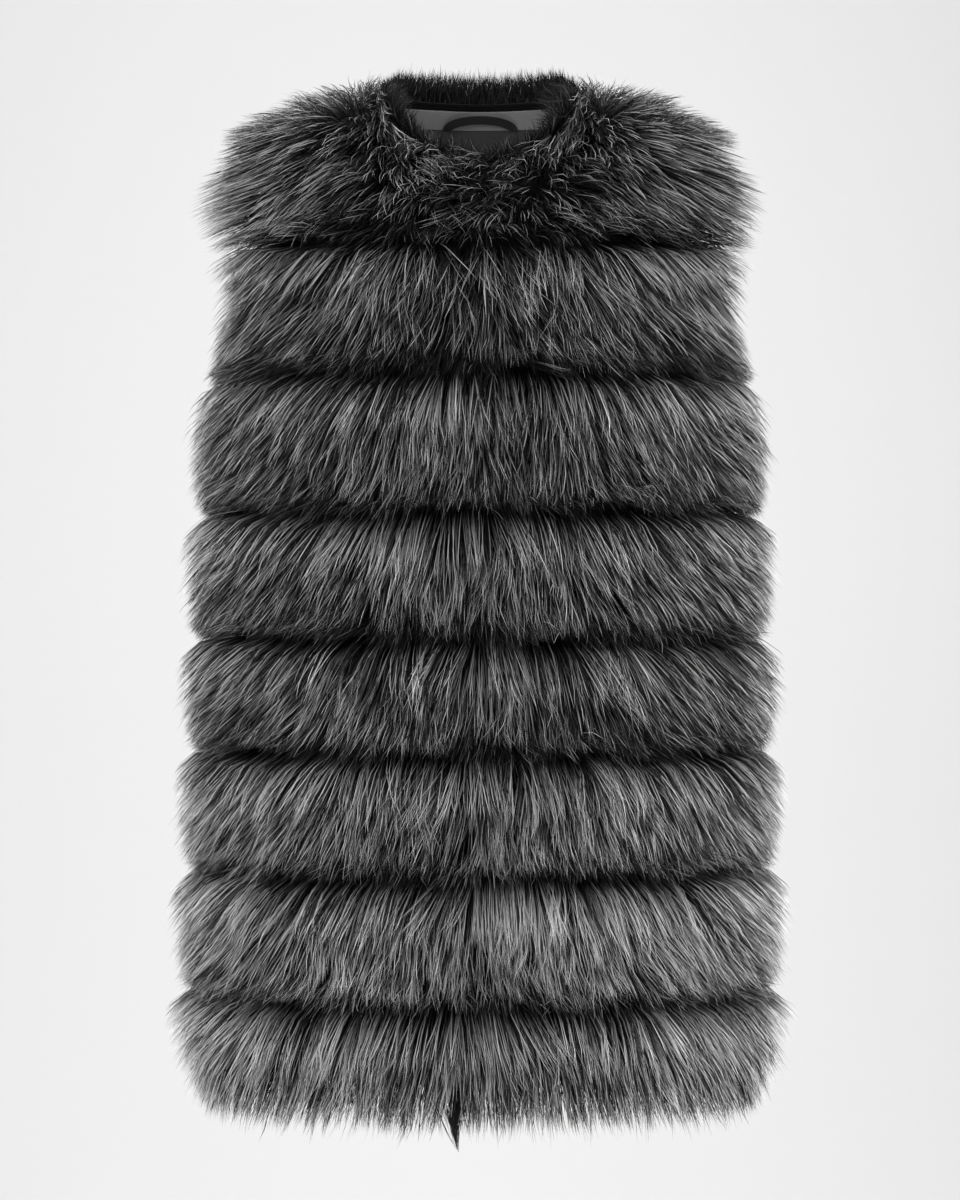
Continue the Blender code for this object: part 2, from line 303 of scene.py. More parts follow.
def pelt_at(tier, side, u, down):
    """The backing, its outward normal, the fur's height on it and its droop, at signed columns u. Both
    u and down may run past the tier's own edges, over the side seam or round the fur's rolled rim."""
    across = np.abs(u)
    beyond = np.clip(across - 1, 0, None)
    within = np.minimum(across, 1)
    inside = np.clip(down, 0, 1)
    shares, piles, droops, reaches, edges = TIERS[tier].T
    squeeze = (1 - np.interp(inside, shares, edges)) * np.clip(2 * within - 1, 0, 1) ** 2
    pile = PILE * np.interp(inside, shares, piles) * (1 - squeeze)
    droop = np.interp(inside, shares, droops)
    points, normals = cloth_at(tier, within, inside, side)
    if tier > 1:
        round_side = cloth_at(tier, 1 - beyond, inside, -side)
        turned = (beyond > 0)[:, None]
        points = np.where(turned, round_side[0], points)
        normals = np.where(turned, round_side[1], normals)
    else:
        along = points - cloth_at(tier, within - 1 / 32, inside, side)[0]
        along[:, 1] *= LIP_TURN
        over = np.clip(beyond / LIP_SPAN, 0, 1)
        points = points + unit(along) * (np.interp(inside, shares, reaches) * over)[:, None]
        pile = pile * (1 - LIP_THINNING * over**2)
    if tier == YOKE:
        over = np.clip(-down / NECK_SPAN, 0, 1) * (across < NECK_SHARE)
        points = points + neck_reach(across, side) * over[:, None]
    below = np.clip(down - 1, 0, END_SPAN)
    pile = pile * (1 - (HEM_THINNING if tier == HEM_TIER else END_THINNING) * below / END_SPAN)
    droop = droop + below * TIER_HEIGHT * (HEM_STRETCH if tier == HEM_TIER else 1)
    if side == FRONT:
        pile = pile * (1 - OPENING_THINNING * np.clip(1 - across / OPENING_COLUMNS, 0, 1))
    return *mirrored(points, normals, np.where(u < 0, -1.0, 1.0)), pile, droop


def fur_surface(tier, side, u, down, share):
    """Points at a share of the fur's height over the backing."""
    points, normals, pile, droop = pelt_at(tier, side, u, down)
    drop = np.zeros_like(points)
    drop[:, 2] = droop * (ROOT_DROOP + (1 - ROOT_DROOP) * share)
    return points + normals * (pile * share)[:, None] - drop, normals


def ease(low, high, value):
    """0 up to low, 1 from high on, and eased between them."""
    t = np.clip((value - low) / (high - low), 0, 1)
    return t * t * (3 - 2 * t)


def bump(value, middle, spread):
    """A soft bump: 1 where value is middle, and about a third of that a spread away."""
    return np.exp(-(((value - middle) / spread) ** 2))


class Drift:
    """A smooth random field of space from a few waves, for the way that locks of hair wander."""

    def __init__(self, rng, shortest, longest, waves=9):
        directions = unit(rng.normal(size=(waves, 3)))
        lengths = rng.uniform(shortest, longest, size=(waves, 1))
        self.waves = directions * 2 * math.pi / lengths
        self.phases = rng.uniform(0, 2 * math.pi, size=waves)

    def __call__(self, points):
        return np.sin(points @ self.waves.T + self.phases).mean(axis=1) * 2


# How far the hair leans outwards from straight down, in degrees, at columns of the front and the back
LEAN_AT = (0.0, 0.08, 0.20, 0.45, 0.70, 0.86, 1.0)
FRONT_LEAN = (0.0, 8.0, 10.0, 27.0, 40.0, 30.0, 0.0)
BACK_LEAN = (0.0, 2.0, 7.0, 18.0, 28.0, 22.0, 0.0)

# The first of the lower tiers, which lean less, and their share of the lean
LOWER_TIER = 5
LOWER_LEAN = 0.85

# How far a tip lies from its root along the cloth, what the sides lose of it, and the yoke's share
TIP_REACH = 0.039
SIDE_SHORTER = 0.008
YOKE_REACH = 0.86

# How far the yoke's hair swings, in degrees: out towards the arm, and in round the neck
ARM_SWING = 58
NECK_SWING = 50

# More hairs along a tier's upper edge, which cover its seam: their number round the neck, and their
# share of the others on each lower tier
COLLAR_HAIRS = {FRONT: 1700, BACK: 5200}
CREST_SHARE = 0.07

# A square centimetre in square metres
SQUARE_CM = 0.0001

# Shortest and longest waves of the fields that hair drifts with: broad and fine sweeps, the swirls
# of tousled hair, the tone, and the level that a tier's hair ends at
DRIFTS = ((0.03, 0.09), (0.008, 0.02), (0.018, 0.04), (0.03, 0.12), (0.025, 0.07))

# How far hair strays from the comb, in degrees: with the first three fields, and then with its lock
# and on its own, where it is tidy and what untidiness adds
BROAD_STRAY, FINE_STRAY, SWIRL_STRAY = 13, 10, 58
LOCK_STRAY = (4, 16)
HAIR_STRAY = (3, 8)

# How far a tip strays, where the hair is tidy and what untidiness adds, and how far a curled one turns
TIP_STRAY = (0.0013, 0.0023)
CURL_OUT = 0.005
CURL_ASIDE = 0.004
CURL_UP = 0.008

# How far off the cloth a hair starts, so that its backing doesn't cover it
ROOT_LIFT = 0.0015

# The fuller hair beside the centre front: its column and its spread
FULL_FRONT = (0.12, 0.34)

# How much farther the hair reaches past the shoulder's end than the solids, at shares down the yoke
SHOULDER_DROP = (0.0, 0.15, 0.30, 0.42, 0.60, 0.80, 1.0)
SHOULDER_REACH = (-0.001, -0.003, 0.003, 0.009, 0.007, 0.005, 0.003)

# The whorl that the hair fans out from beside the neck: its column, its share down the yoke, its reach
WHORL_COLUMN = 0.58
WHORL_DOWN = 0.16
WHORL_REACH = 0.034


class Planted(NamedTuple):
    """Where a tier's hairs have their roots: signed columns and shares down, the columns without sign, how
    near each is to the upper seam and to the side, and the tier's own width and height."""

    u: np.ndarray
    down: np.ndarray
    across: np.ndarray
    at_top: np.ndarray
    at_side: np.ndarray
    width: float
    height: float


class Locks(NamedTuple):
    """What the hairs of a lock share, one row for each hair: its tone, how low it ends and how far it
    curls up, each from 0 to 1, and which way it turns."""

    tone: np.ndarray
    end: np.ndarray
    curl: np.ndarray
    turn: np.ndarray


def comb(tier, side, where):
    """The way the hair is combed at each root: its lean outwards from straight down, in radians, how
    far its tip lies from its root along the cloth, and how untidy it is from 0 to 1."""
    across, down = where.across, where.down
    lean = np.radians(np.interp(across, LEAN_AT, FRONT_LEAN if side == FRONT else BACK_LEAN))
    lean = lean * (1.0 if tier < LOWER_TIER else LOWER_LEAN)
    length = np.full_like(across, TIP_REACH) - SIDE_SHORTER * ease(0.75, 1.0, across)
    near_top = 1 - ease(0.0, 0.3, down)
    length = length * (1 - 0.5 * near_top * ease(0.55, 0.9, across))
    untidy = np.full_like(across, 0.22 if tier == YOKE else 0.12)
    if tier == YOKE:
        length = length * YOKE_REACH
        towards_arm = ease(0.16, 0.85, across) * (1 - 0.85 * ease(0.05, 0.75, down))
        lean = lean * 0.9 * ease(0.1, 0.7, down) + math.radians(ARM_SWING) * towards_arm
        round_neck = bump(across, 0.36, 0.13) * (1 - ease(0.05, 0.5, down))
        lean = lean - math.radians(NECK_SWING) * round_neck
        aside, under = (across - WHORL_COLUMN) * where.width, (down - WHORL_DOWN) * where.height
        away = np.hypot(aside, under) + 1e-6
        whorl = bump(away, 0, WHORL_REACH)
        outward = np.sin(lean) * (1 - whorl) + aside / away * whorl
        lean = np.arctan2(outward, np.cos(lean) * (1 - whorl) + under / away * whorl)
        length = length * (1 - 0.42 * whorl)
        untidy = untidy + 0.10 * whorl
        if side == FRONT:
            near_neck = bump(across, 0, 0.35) * (1 - ease(0.35, 1.05, down))
            untidy = untidy + 0.75 * near_neck
            length = length * (1 - 0.33 * near_neck)
    if tier == 1 and side == FRONT:
        untidy = untidy + 0.35 * bump(across, 0, 0.35) * (1 - ease(0.0, 0.6, down))
    return lean, length, untidy


def nearest(points, centres):
    """The index of the nearest centre to each point, in pieces so that memory stays small."""
    found = []
    for block in np.array_split(points, max(1, len(points) // 2000)):
        gap = ((block[:, None, :] - centres[None, :, :]) ** 2).sum(axis=2)
        found.append(gap.argmin(axis=1))
    return np.concatenate(found)


def scatter(tier, side, whole, per_area, rng):
    """Roots spread evenly over a tier's cloth, as signed columns and shares down, with its size."""
    low = -1.0 if whole else 0.0

    def stretch(u, down):
        here = cloth_at(tier, np.abs(u), down, side)[0]
        aside = cloth_at(tier, np.abs(u) - 0.01, down, side)[0]
        under = cloth_at(tier, np.abs(u), np.where(down < 0.5, down + 0.01, down - 0.01), side)[0]
        width, height = (here - aside) / 0.01, (here - under) / 0.01
        cell = np.linalg.norm(np.cross(width, height), axis=1)
        return cell, np.linalg.norm(width, axis=1), np.linalg.norm(height, axis=1)

    def draw(count):
        return rng.uniform(low, 1.0, count), rng.uniform(0.0, 1.0, count)

    cell, width, height = stretch(*draw(3000))
    area = cell.mean() * (1 - low)
    count = int(area * per_area)
    most = np.quantile(cell, 0.995)
    u, down = draw(int(count * most / cell.mean() * 1.15))
    kept = rng.uniform(0, most, len(u)) < stretch(u, down)[0]
    u, down = u[kept][:count], down[kept][:count]
    return u, down, width.mean(), height.mean()


def bend_limit(value, soft, hard):
    """value, eased so that it never passes hard."""
    over = np.maximum(value - soft, 0)
    return np.where(value > soft, soft + (hard - soft) * np.tanh(over / (hard - soft)), value)


class Hairs(NamedTuple):
    """A tier's hairs, one row for each: four control points, the cloth's normal, the tone from 0 to 1,
    how far along its colour a root starts, its share of the common width, and whether it is undercoat."""

    controls: np.ndarray
    out: np.ndarray
    tone: np.ndarray
    start: np.ndarray
    breadth: np.ndarray
    under: np.ndarray


def plant(tier, side, whole, fur, rng):
    """The roots of a tier's hairs: spread over its cloth, and closer along its upper edge."""
    u, down, width, height = scatter(tier, side, whole, fur.hairs_per_cm2 / SQUARE_CM, rng)
    count = COLLAR_HAIRS[side] if tier == YOKE else int(CREST_SHARE * len(u))
    spread = rng.uniform(-1.0 if whole else 0.0, 1.0, count)
    if tier == YOKE:
        spread = (spread if whole else spread**0.6) * NECK_SHARE
    else:
        spread = np.sign(spread) * np.abs(spread) ** (0.45 if tier == 1 else 0.9)
    u = np.append(u, spread)
    down = np.append(down, rng.uniform(0.0, 0.07 if tier == YOKE else 0.08, count))
    across = np.abs(u)
    at_top = 1 - ease(0.0, 0.28, down)
    return Planted(u, down, across, at_top, ease(0.6, 1.0, across), width, height)


def turn_up(side, where, locks, tip_u, tip_down, share, rng):
    """Turns the yoke's hair up round the neck and along the shoulder seam: which hairs stand at the neck,
    which make the seam's ridge, and the tips' columns, shares down and shares of the fur's height."""
    count = len(tip_u)
    standing = (rng.uniform(0.03, 0.12, count) > where.down) & (where.across < NECK_SHARE)
    ridge = (rng.uniform(0.04, 0.16, count) > where.down) & (where.across >= NECK_SHARE)
    tip_down = np.where(ridge, where.down * rng.uniform(0, 1, count), np.maximum(tip_down, 0.0))
    if side == BACK:
        reach = 0.30 + 0.40 * locks.end + 0.30 * rng.uniform(0, 1, count) ** 0.5
        reach = reach * (1 - 0.6 * ease(0.36, 0.48, where.across))
        stand = rng.uniform(0.10, 1.0, count) ** 0.7
    else:
        reach = rng.uniform(0.1, 1.0, count)
        stand = rng.uniform(0.10, 0.95, count)
    tip_down = np.where(standing, -NECK_SPAN * reach, tip_down)
    tip_u = np.where(standing, where.u + rng.normal(size=count) * 0.022, tip_u)
    share = np.where(ridge, rng.uniform(0.70, 1.08, count), share)
    return standing, ridge, tip_u, tip_down, np.where(standing, stand, share)


def lowest_tip(tier, side, where, locks, wander, rng):
    """The share down a tier that its hair may reach: past the seam in places, so that the groove has no
    straight edge. wander drifts along it."""
    jitter = rng.uniform(-1, 1, len(wander))
    if tier == HEM_TIER:
        return 1 + END_SPAN * (0.38 + 0.32 * locks.end) + 0.02 * (wander + jitter)
    lowest = 0.95 + 0.11 * locks.end + 0.12 * wander + 0.05 * jitter
    lowest = lowest + (0.13 if tier == YOKE else 0.05) * where.at_side + 0.04 * (tier == HEM_TIER - 1)
    if tier <= 1 and side == FRONT:
        lowest = lowest + 0.10 * bump(where.across, *FULL_FRONT) * (0.35 + 0.65 * locks.end)
    return lowest


def tones(tier, side, where, own_tone, untidy, tip_down, standing, ridge, rng):
    """Each hair's tone from 0 to 1, from its own tone and where it grows, with painted light and shade
    in it, and how far along its colour its root starts, which paints the tops of the tiers paler."""
    across, down, count = where.across, where.down, len(own_tone)
    # Darker where the hair is untidy, and painted shade: darker the lower its root lies down a tier, as
    # though light fell from above
    tone = own_tone * (1 - 0.26 * untidy**1.5) * (1.06 - 0.20 * ease(0.15, 0.95, down))
    tone = tone * (0.95 + 0.27 * ease(4.0, HEM_TIER, np.float64(tier)) + 0.12 * (tier == YOKE))
    # Painted light: paler towards the side edges, as rim light on the fur at the sides
    tone = tone + 0.19 * ease(0.74, 1.0, across)
    # Painted shade: darker where the tips reach a tier's lower edge and curl under
    if tier != HEM_TIER:
        tone = tone * (1 - 0.14 * ease(0.88, 1.0, tip_down))
    # Painted light: roots near a tier's top start part way along their colour, past its dark base, so that
    # the top of each tier looks lit from above
    start = 0.40 * where.at_top * (1 - 0.45 * where.at_side) * rng.uniform(0.5, 1.0, count)
    if side == FRONT and tier in (1, 2):
        start = start * (1 - 0.35 * bump(across, *FULL_FRONT))
    start = start * (0.75 if tier == HEM_TIER else 1.0)
    if tier == YOKE:
        tone = np.where(ridge, tone + 0.12 * (1 - tone) * ease(0.55, 0.72, across), tone)
        if side == BACK:
            # The back's standing neck hair is darker: partly its own dark roots, which it shows from the
            # root on, and partly painted shade where the front fur shades it inside the neck
            tone = np.where(standing, tone * np.where(rng.uniform(0, 1, count) < 0.12, 0.8, 0.2), tone)
            start = np.where(standing, 0, start)
        else:
            tone = np.where(standing, tone * 0.8, tone)
            beside_neck = bump(across, 0.42, 0.16) * (1 - ease(0.25, 0.7, down))
            tone = tone * (1 - 0.22 * beside_neck)
    return np.clip(tone, 0, 1), start


def stray(angles, untidy):
    """How far hair strays, in radians, from what it does where it is tidy and what untidiness adds."""
    tidy, more = angles
    return math.radians(tidy) + math.radians(more) * untidy


def hair_curves(tier, cut, fur, rng):
    """The hairs of a tier of one cut."""
    side, whole = cut.side, cut.whole
    where = plant(tier, side, whole, fur, rng)
    u, down, across, at_top, at_side, width, height = where
    count = len(u)
    roots, out, pile, _ = pelt_at(tier, side, u, down)
    broad, fine, swirl, shade, groove = (Drift(rng, *span) for span in DRIFTS)

    # A hair belongs to the lock whose middle is nearest
    centres = rng.choice(count, max(8, int(count / fur.hairs_per_lock)), replace=False)
    metric = np.stack((u * width, down * height), axis=1)
    lock = centres[nearest(metric, metric[centres])]
    lock_tone, lock_end, lock_curl = (rng.uniform(0, 1, count)[lock] for _ in range(3))
    locks = Locks(lock_tone, lock_end, lock_curl, rng.normal(size=count)[lock])

    lean, length, untidy = comb(tier, side, where)
    lean = lean + math.radians(BROAD_STRAY) * broad(roots) + math.radians(FINE_STRAY) * fine(roots)
    lean = lean + math.radians(SWIRL_STRAY) * untidy**1.5 * swirl(roots)
    lean = lean + locks.turn * stray(LOCK_STRAY, untidy)
    lean = lean + rng.normal(size=count) * stray(HAIR_STRAY, untidy)
    length = length * rng.uniform(0.75, 1.15, count)
    heading = np.clip(u / 0.06, -1, 1) if whole else np.ones(count)
    tip_u = u + heading * length * np.sin(lean) / width
    tip_down = down + length * np.cos(lean) / height
    pull = fur.clumping * (1 - 0.7 * untidy) * (1 - 0.85 * at_top)
    tip_u = tip_u + (tip_u[lock] - tip_u) * pull
    tip_down = tip_down + (tip_down[lock] - tip_down) * pull

    # How high in the pile a tip lies, and how far it goes over the tier's edges
    depth = rng.uniform(0, 1, count)
    share = (0.42 + 0.58 * depth**0.55) * (1 + (0.10 + 0.14 * at_top) * at_side)
    standing = ridge = np.zeros(count, bool)
    if tier == YOKE:
        turned = turn_up(side, where, locks, tip_u, tip_down, share, rng)
        standing, ridge, tip_u, tip_down, share = turned
    if tier <= 1:
        spread = rng.uniform(0.0, 1.0, count) ** (0.6 - 0.35 * at_top if tier else 0.42)
        flare = ease(0.72, 0.96, across) * LIP_SPAN * spread
        tip_u = np.sign(tip_u) * bend_limit(np.abs(tip_u) + flare, 1.02, 1 + LIP_SPAN)
    else:
        tip_u = np.sign(tip_u) * bend_limit(np.abs(tip_u), 0.94, 1.04)
    tip_down = bend_limit(tip_down, 0.72, lowest_tip(tier, side, where, locks, groove(roots), rng))
    if tier == 2:
        below_arm = ease(0.75, 0.95, across)
        share = share * (1 - 0.24 * below_arm * (1 - ease(0.1, 0.6, tip_down)))
    if tier == HEM_TIER:
        hanging = (locks.end > 0.90) & (tip_down > 0.85) & (rng.uniform(0, 1, count) < 0.5)
        tip_down = np.where(hanging, 1 + END_SPAN * rng.uniform(0.55, 1.0, count), tip_down)
    wisps = (rng.uniform(0, 1, count) < 0.045) & ~standing
    share = np.where(wisps, rng.uniform(1.0, 1.20, count), share)
    tips, tip_out = fur_surface(tier, side, tip_u, tip_down, share)
    if tier == YOKE:
        tips[:, 1] -= side * ridge * rng.uniform(-0.003, 0.011, count)
        crown = ease(0.54, 0.67, across) * (1 - 0.7 * ease(0.74, 0.86, across))
        tips[:, 2] += ridge * crown * (0.0035 + 0.0065 * locks.curl**2)
        past_edge = ease(0.93, 1.08, np.abs(tip_u))
        tips[:, 0] += heading * past_edge * np.interp(tip_down, SHOULDER_DROP, SHOULDER_REACH)
        tips[:, 2] -= (ridge | standing) * 0.007 * bump(across, 0.51, 0.09)
        leaning = standing * ease(0.20, 0.44, across) * rng.uniform(0, 1, count)
        tips[:, 0] -= heading * leaning * cut.lean

    # The curve from the root, along the cloth and up to the tip
    aside = unit(np.cross(out, (0.0, 0.0, 1.0)))
    aside = aside * np.where(aside[:, :1] * heading[:, None] < 0, -1.0, 1.0)
    below = unit(np.cross(aside, out))
    below = below * np.where(below[:, 2:] > 0, -1.0, 1.0)
    flow = aside * np.sin(lean)[:, None] + below * np.cos(lean)[:, None]
    flow = np.where(standing[:, None], unit(tips - roots), flow)

    lift = 0.04 + 0.20 * ease(0.65, 1.0, across)
    loose = (TIP_STRAY[0] + TIP_STRAY[1] * untidy)[:, None]
    tips = tips + rng.normal(size=(count, 3)) * loose
    bend = tips - (flow * 0.40 + tip_out * lift[:, None]) * length[:, None]
    bend = bend + rng.normal(size=(count, 3)) * loose * 0.5 - aside * (locks.turn * 0.0018)[:, None]
    curl = ease(0.84, 1.0, tip_down) * np.clip(locks.curl * 1.6 - 0.6, 0, 1) * (tier != HEM_TIER)
    tips = tips + (tip_out * CURL_OUT + aside * CURL_ASIDE * locks.turn[:, None]) * curl[:, None]
    tips[:, 2] += curl * CURL_UP
    first = 0.44 + 0.34 * at_top * (1 + 0.35 * at_side)
    rise = roots + out * (pile * first * (0.5 + 0.5 * share))[:, None] + flow * (length * 0.05)[:, None]
    controls = np.stack((roots + out * ROOT_LIFT, rise, bend, tips), axis=1)

    own_tone = 0.34 * depth + 0.13 * locks.tone + 0.53 * rng.uniform(0, 1, count) + 0.09 * shade(roots)
    tone, start = tones(tier, side, where, own_tone, untidy, tip_down, standing, ridge, rng)
    breadth = rng.uniform(0.65, 1.3, count) * (1 - 0.35 * np.clip(untidy, 0, 1))
    return Hairs(controls, out, tone, start, breadth, depth < fur.undercoat)


def bezier(controls, t):
    """Points at share t of curves of four control points, and the way that they run there."""
    a, b, c, d = (controls[:, i] for i in range(4))
    s = 1 - t
    point = s**3 * a + 3 * s * s * t * b + 3 * s * t * t * c + t**3 * d
    along = s * s * (b - a) + 2 * s * t * (c - b) + t * t * (d - c)
    return point, unit(along)


# Where a hair is cut into pieces, as (share of its length, share of its width)
GUARD_CUTS = ((0.0, 0.9), (0.45, 1.0), (0.78, 0.70))
UNDER_CUTS = ((0.0, 0.9), (0.62, 0.85))


def ribbons(hairs, rng, hair_width, cuts):
    """Flat tapering hairs, each turned its own way about its length: their points, the corners of
    their faces, where each face starts, and each corner's place on the map."""
    count, rows = len(hairs.controls), len(cuts)
    roll = rng.uniform(-1.15, 1.15, count)[:, None]
    half = hair_width / 2 * hairs.breadth[:, None]
    points = np.empty((count, 2 * rows + 1, 3))
    for row, (t, taper) in enumerate(cuts):
        middle, along = bezier(hairs.controls, t)
        flat = unit(np.cross(along, hairs.out))
        edge = flat * np.cos(roll) + np.cross(along, flat) * np.sin(roll)
        points[:, 2 * row] = middle - edge * half * taper
        points[:, 2 * row + 1] = middle + edge * half * taper
    points[:, -1] = hairs.controls[:, 3]
    quads = [corner + 2 * row for row in range(rows - 1) for corner in (0, 1, 3, 2)]
    corners = np.array((*quads, 2 * rows - 2, 2 * rows - 1, 2 * rows))
    loops = np.arange(count)[:, None] * (2 * rows + 1) + corners
    starts = np.arange(count)[:, None] * len(corners) + np.arange(rows) * 4
    along_hair = np.append(np.repeat([t for t, _ in cuts], 2), 1.0)
    to_edge = np.append([sign * taper for _, taper in cuts for sign in (-1, 1)], 0.0)
    places = np.empty((count, len(corners), 2))
    start = hairs.start[:, None]
    places[:, :, 0] = 0.01 + 0.98 * hairs.tone[:, None] + 0.006 * to_edge[corners]
    places[:, :, 1] = 0.02 + 0.96 * (start + (1 - start) * along_hair[corners])
    return points.reshape(-1, 3), loops.ravel(), starts.ravel(), np.clip(places, 0, 1).reshape(-1, 2)


def ribbon_mesh(name, hairs, rng, hair_width):
    """One joined mesh of all the hairs of a tier. The map OFBake holds each hair's tone across and its
    length from root to tip."""
    groups = []
    for chosen, cuts in ((~hairs.under, GUARD_CUTS), (hairs.under, UNDER_CUTS)):
        groups.append(ribbons(Hairs(*(part[chosen] for part in hairs)), rng, hair_width, cuts))
    points, loops, starts, places = groups[0]
    loops = np.append(loops, groups[1][1] + len(points))
    starts = np.append(starts, groups[1][2] + len(groups[0][1])).astype(np.int32)
    points = np.concatenate((points, groups[1][0])).astype(np.float32)
    places = np.concatenate((places, groups[1][3])).astype(np.float32)
    mesh = bpy.data.meshes.new(name)
    mesh.vertices.add(len(points))
    mesh.vertices.foreach_set("co", points.ravel())
    mesh.loops.add(len(loops))
    mesh.loops.foreach_set("vertex_index", loops.astype(np.int32))
    mesh.polygons.add(len(starts))
    mesh.polygons.foreach_set("loop_start", starts)
    mesh.update(calc_edges=True)
    layer = mesh.uv_layers.new(name="OFBake")
    layer.data.foreach_set("uv", places.ravel())
    mesh.polygons.foreach_set("use_smooth", np.ones(len(starts), bool))
    mesh.validate()
    return mesh


def show(mesh, name, material, replaced=()):
    """Links a finished mesh as a piece that rides on the vest."""
    piece = bpy.data.objects.new(name, mesh)
    mesh.materials.append(material)
    bpy.context.scene.collection.objects.link(piece)
    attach(piece, "root")
    if replaced:
        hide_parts(*replaced)
    return piece


def cloth_sheet(name, columns, rows, place, thickness):
    """A thin closed sheet: a grid laid on place(u, down), thickened outwards. u runs from 0 to 1 over
    the grid's width. The map OFBake is the flat cloth, a little larger on the inner face, so that the
    rim between them has some width on it too."""
    bm = bmesh.new()
    bmesh.ops.create_grid(bm, x_segments=columns, y_segments=rows, size=0.5)
    outer = list(bm.verts)
    flat = np.array([(v.co.x + 0.5, 0.5 - v.co.y) for v in outer])
    made = bmesh.ops.duplicate(bm, geom=bm.verts[:] + bm.edges[:] + bm.faces[:])
    inner = [made["vert_map"][vert] for vert in outer]
    near, outward = place(flat[:, 0], flat[:, 1])
    spots = {}
    for verts, points, margin in ((outer, near + outward * thickness, 0.015), (inner, near, 0.005)):
        for vert, point, (across, down) in zip(verts, points, flat):
            vert.co = point
            spots[vert] = [margin + (1 - 2 * margin) * share for share in (across, 1 - down)]
    bmesh.ops.bridge_loops(bm, edges=[e for e in bm.edges if e.is_boundary])
    bmesh.ops.recalc_face_normals(bm, faces=bm.faces[:])
    layer = bm.loops.layers.uv.new("OFBake")
    for face in bm.faces:
        face.smooth = True
        for loop in face.loops:
            loop[layer].uv = spots[loop.vert]
    mesh = bpy.data.meshes.new(name)
    bm.to_mesh(mesh)
    bm.free()
    mesh.set_sharp_from_angle(angle=math.radians(50))
    return mesh


def flat_size(place):
    """Width, length and area of a sheet when it is laid flat, measured along the cloth."""
    steps = 40
    line = np.linspace(0, 1, steps + 1)
    grid = np.stack([place(line, np.full_like(line, d))[0] for d in line])
    across = np.linalg.norm(np.diff(grid, axis=1), axis=2)
    down = np.linalg.norm(np.diff(grid, axis=0), axis=2)
    cells = np.cross(np.diff(grid[:-1], axis=1), np.diff(grid[:, :-1], axis=0))
    area = float(np.linalg.norm(cells, axis=2).sum())
    width, length = float(across.sum(axis=1).max()), float(down.sum(axis=0).max())
    return width, length, area


def declare(place):
    """Works out a sheet's flat size and area, which nothing uses."""
    width, length, area = flat_size(place)
    area = min(max(area, 0.3 * width * length), width * length)


# How much the roughness of satin varies over it
SHINE_SPREAD = 0.14


class Wiring:
    """Short ways to add and join a material's nodes."""

    def __init__(self, name):
        self.material = bpy.data.materials.new(name)
        self.material.use_nodes = True
        self.tree = self.material.node_tree
        self.shader = self.tree.nodes["Principled BSDF"]

    def fill(self, node, inputs):
        """Joins or sets a node's inputs, each given by its name or number."""
        for key, value in inputs.items():
            if isinstance(value, bpy.types.NodeSocket):
                self.tree.links.new(value, node.inputs[key])
            else:
                node.inputs[key].default_value = value

    def node(self, kind, inputs, **values):
        """A new node, with its own values set and its inputs filled."""
        made = self.tree.nodes.new(kind)
        for name, value in values.items():
            setattr(made, name, value)
        self.fill(made, inputs)
        return made

    def on_object(self):
        """Places on the object itself."""
        return self.node("ShaderNodeTexCoord", {}).outputs["Object"]

    def on_map(self):
        """Places on the piece's own map."""
        return self.node("ShaderNodeUVMap", {}, uv_map="OFBake").outputs["UV"]

    def ramp(self, source, stops):
        """A colour ramp of (position, grey) stops."""
        made = self.node("ShaderNodeValToRGB", {"Fac": source})
        band = made.color_ramp
        while len(band.elements) < len(stops):
            band.elements.new(0.5)
        for element, (position, grey) in zip(band.elements, stops):
            element.position = position
            element.color = (grey, grey, grey, 1)
        return made.outputs["Color"]

    def surface(self, colour, roughness, specular):
        """The colour, roughness and shine of the surface."""
        finish = {"Base Color": colour, "Roughness": roughness, "Specular IOR Level": specular}
        self.fill(self.shader, finish)

    def relief(self, height, strength, distance):
        """Makes the surface look raised where height is large."""
        raised = self.node("ShaderNodeBump", {"Height": height, "Strength": strength, "Distance": distance})
        self.fill(self.shader, {"Normal": raised.outputs["Normal"]})


def fur_material(fur):
    """Hair: nearly black at the root and pale at the tip, each hair with its own tone."""
    wires = Wiring("fur_hairs")
    parts = wires.node("ShaderNodeSeparateXYZ", {"Vector": wires.on_map()})
    across, along = parts.outputs["X"], parts.outputs["Y"]
    dark = wires.ramp(along, ((0.0, 0.002), (0.55, 0.005), (1.0, fur.dark_tip)))
    pale = wires.ramp(along, ((0.0, 0.003), (0.31, 0.015), (0.55, 0.150), (1.0, fur.pale_tip)))
    span = {"Value": across, "From Min": 0.44, "From Max": 0.86}
    amount = wires.node("ShaderNodeMapRange", span, interpolation_type="SMOOTHSTEP").outputs["Result"]
    mix = wires.node("ShaderNodeMix", {"Factor": amount}, data_type="RGBA")
    wires.fill(mix, {"A": dark, "B": pale})
    wires.surface(mix.outputs["Result"], 0.50, 0.09)
    return wires.material


def backing_material():
    """The knitted ground of the fur: fine black loops."""
    wires = Wiring("fur_backing")
    loops = {"Vector": wires.on_object(), "Scale": 180, "Distortion": 2.5, "Detail": 2}
    knit = wires.node("ShaderNodeTexWave", loops, wave_type="BANDS", bands_direction="Z").outputs["Fac"]
    wires.surface(wires.ramp(knit, ((0.0, 0.004), (1.0, 0.012))), 0.9, 0.02)
    wires.relief(knit, 0.4, 0.0004)
    return wires.material


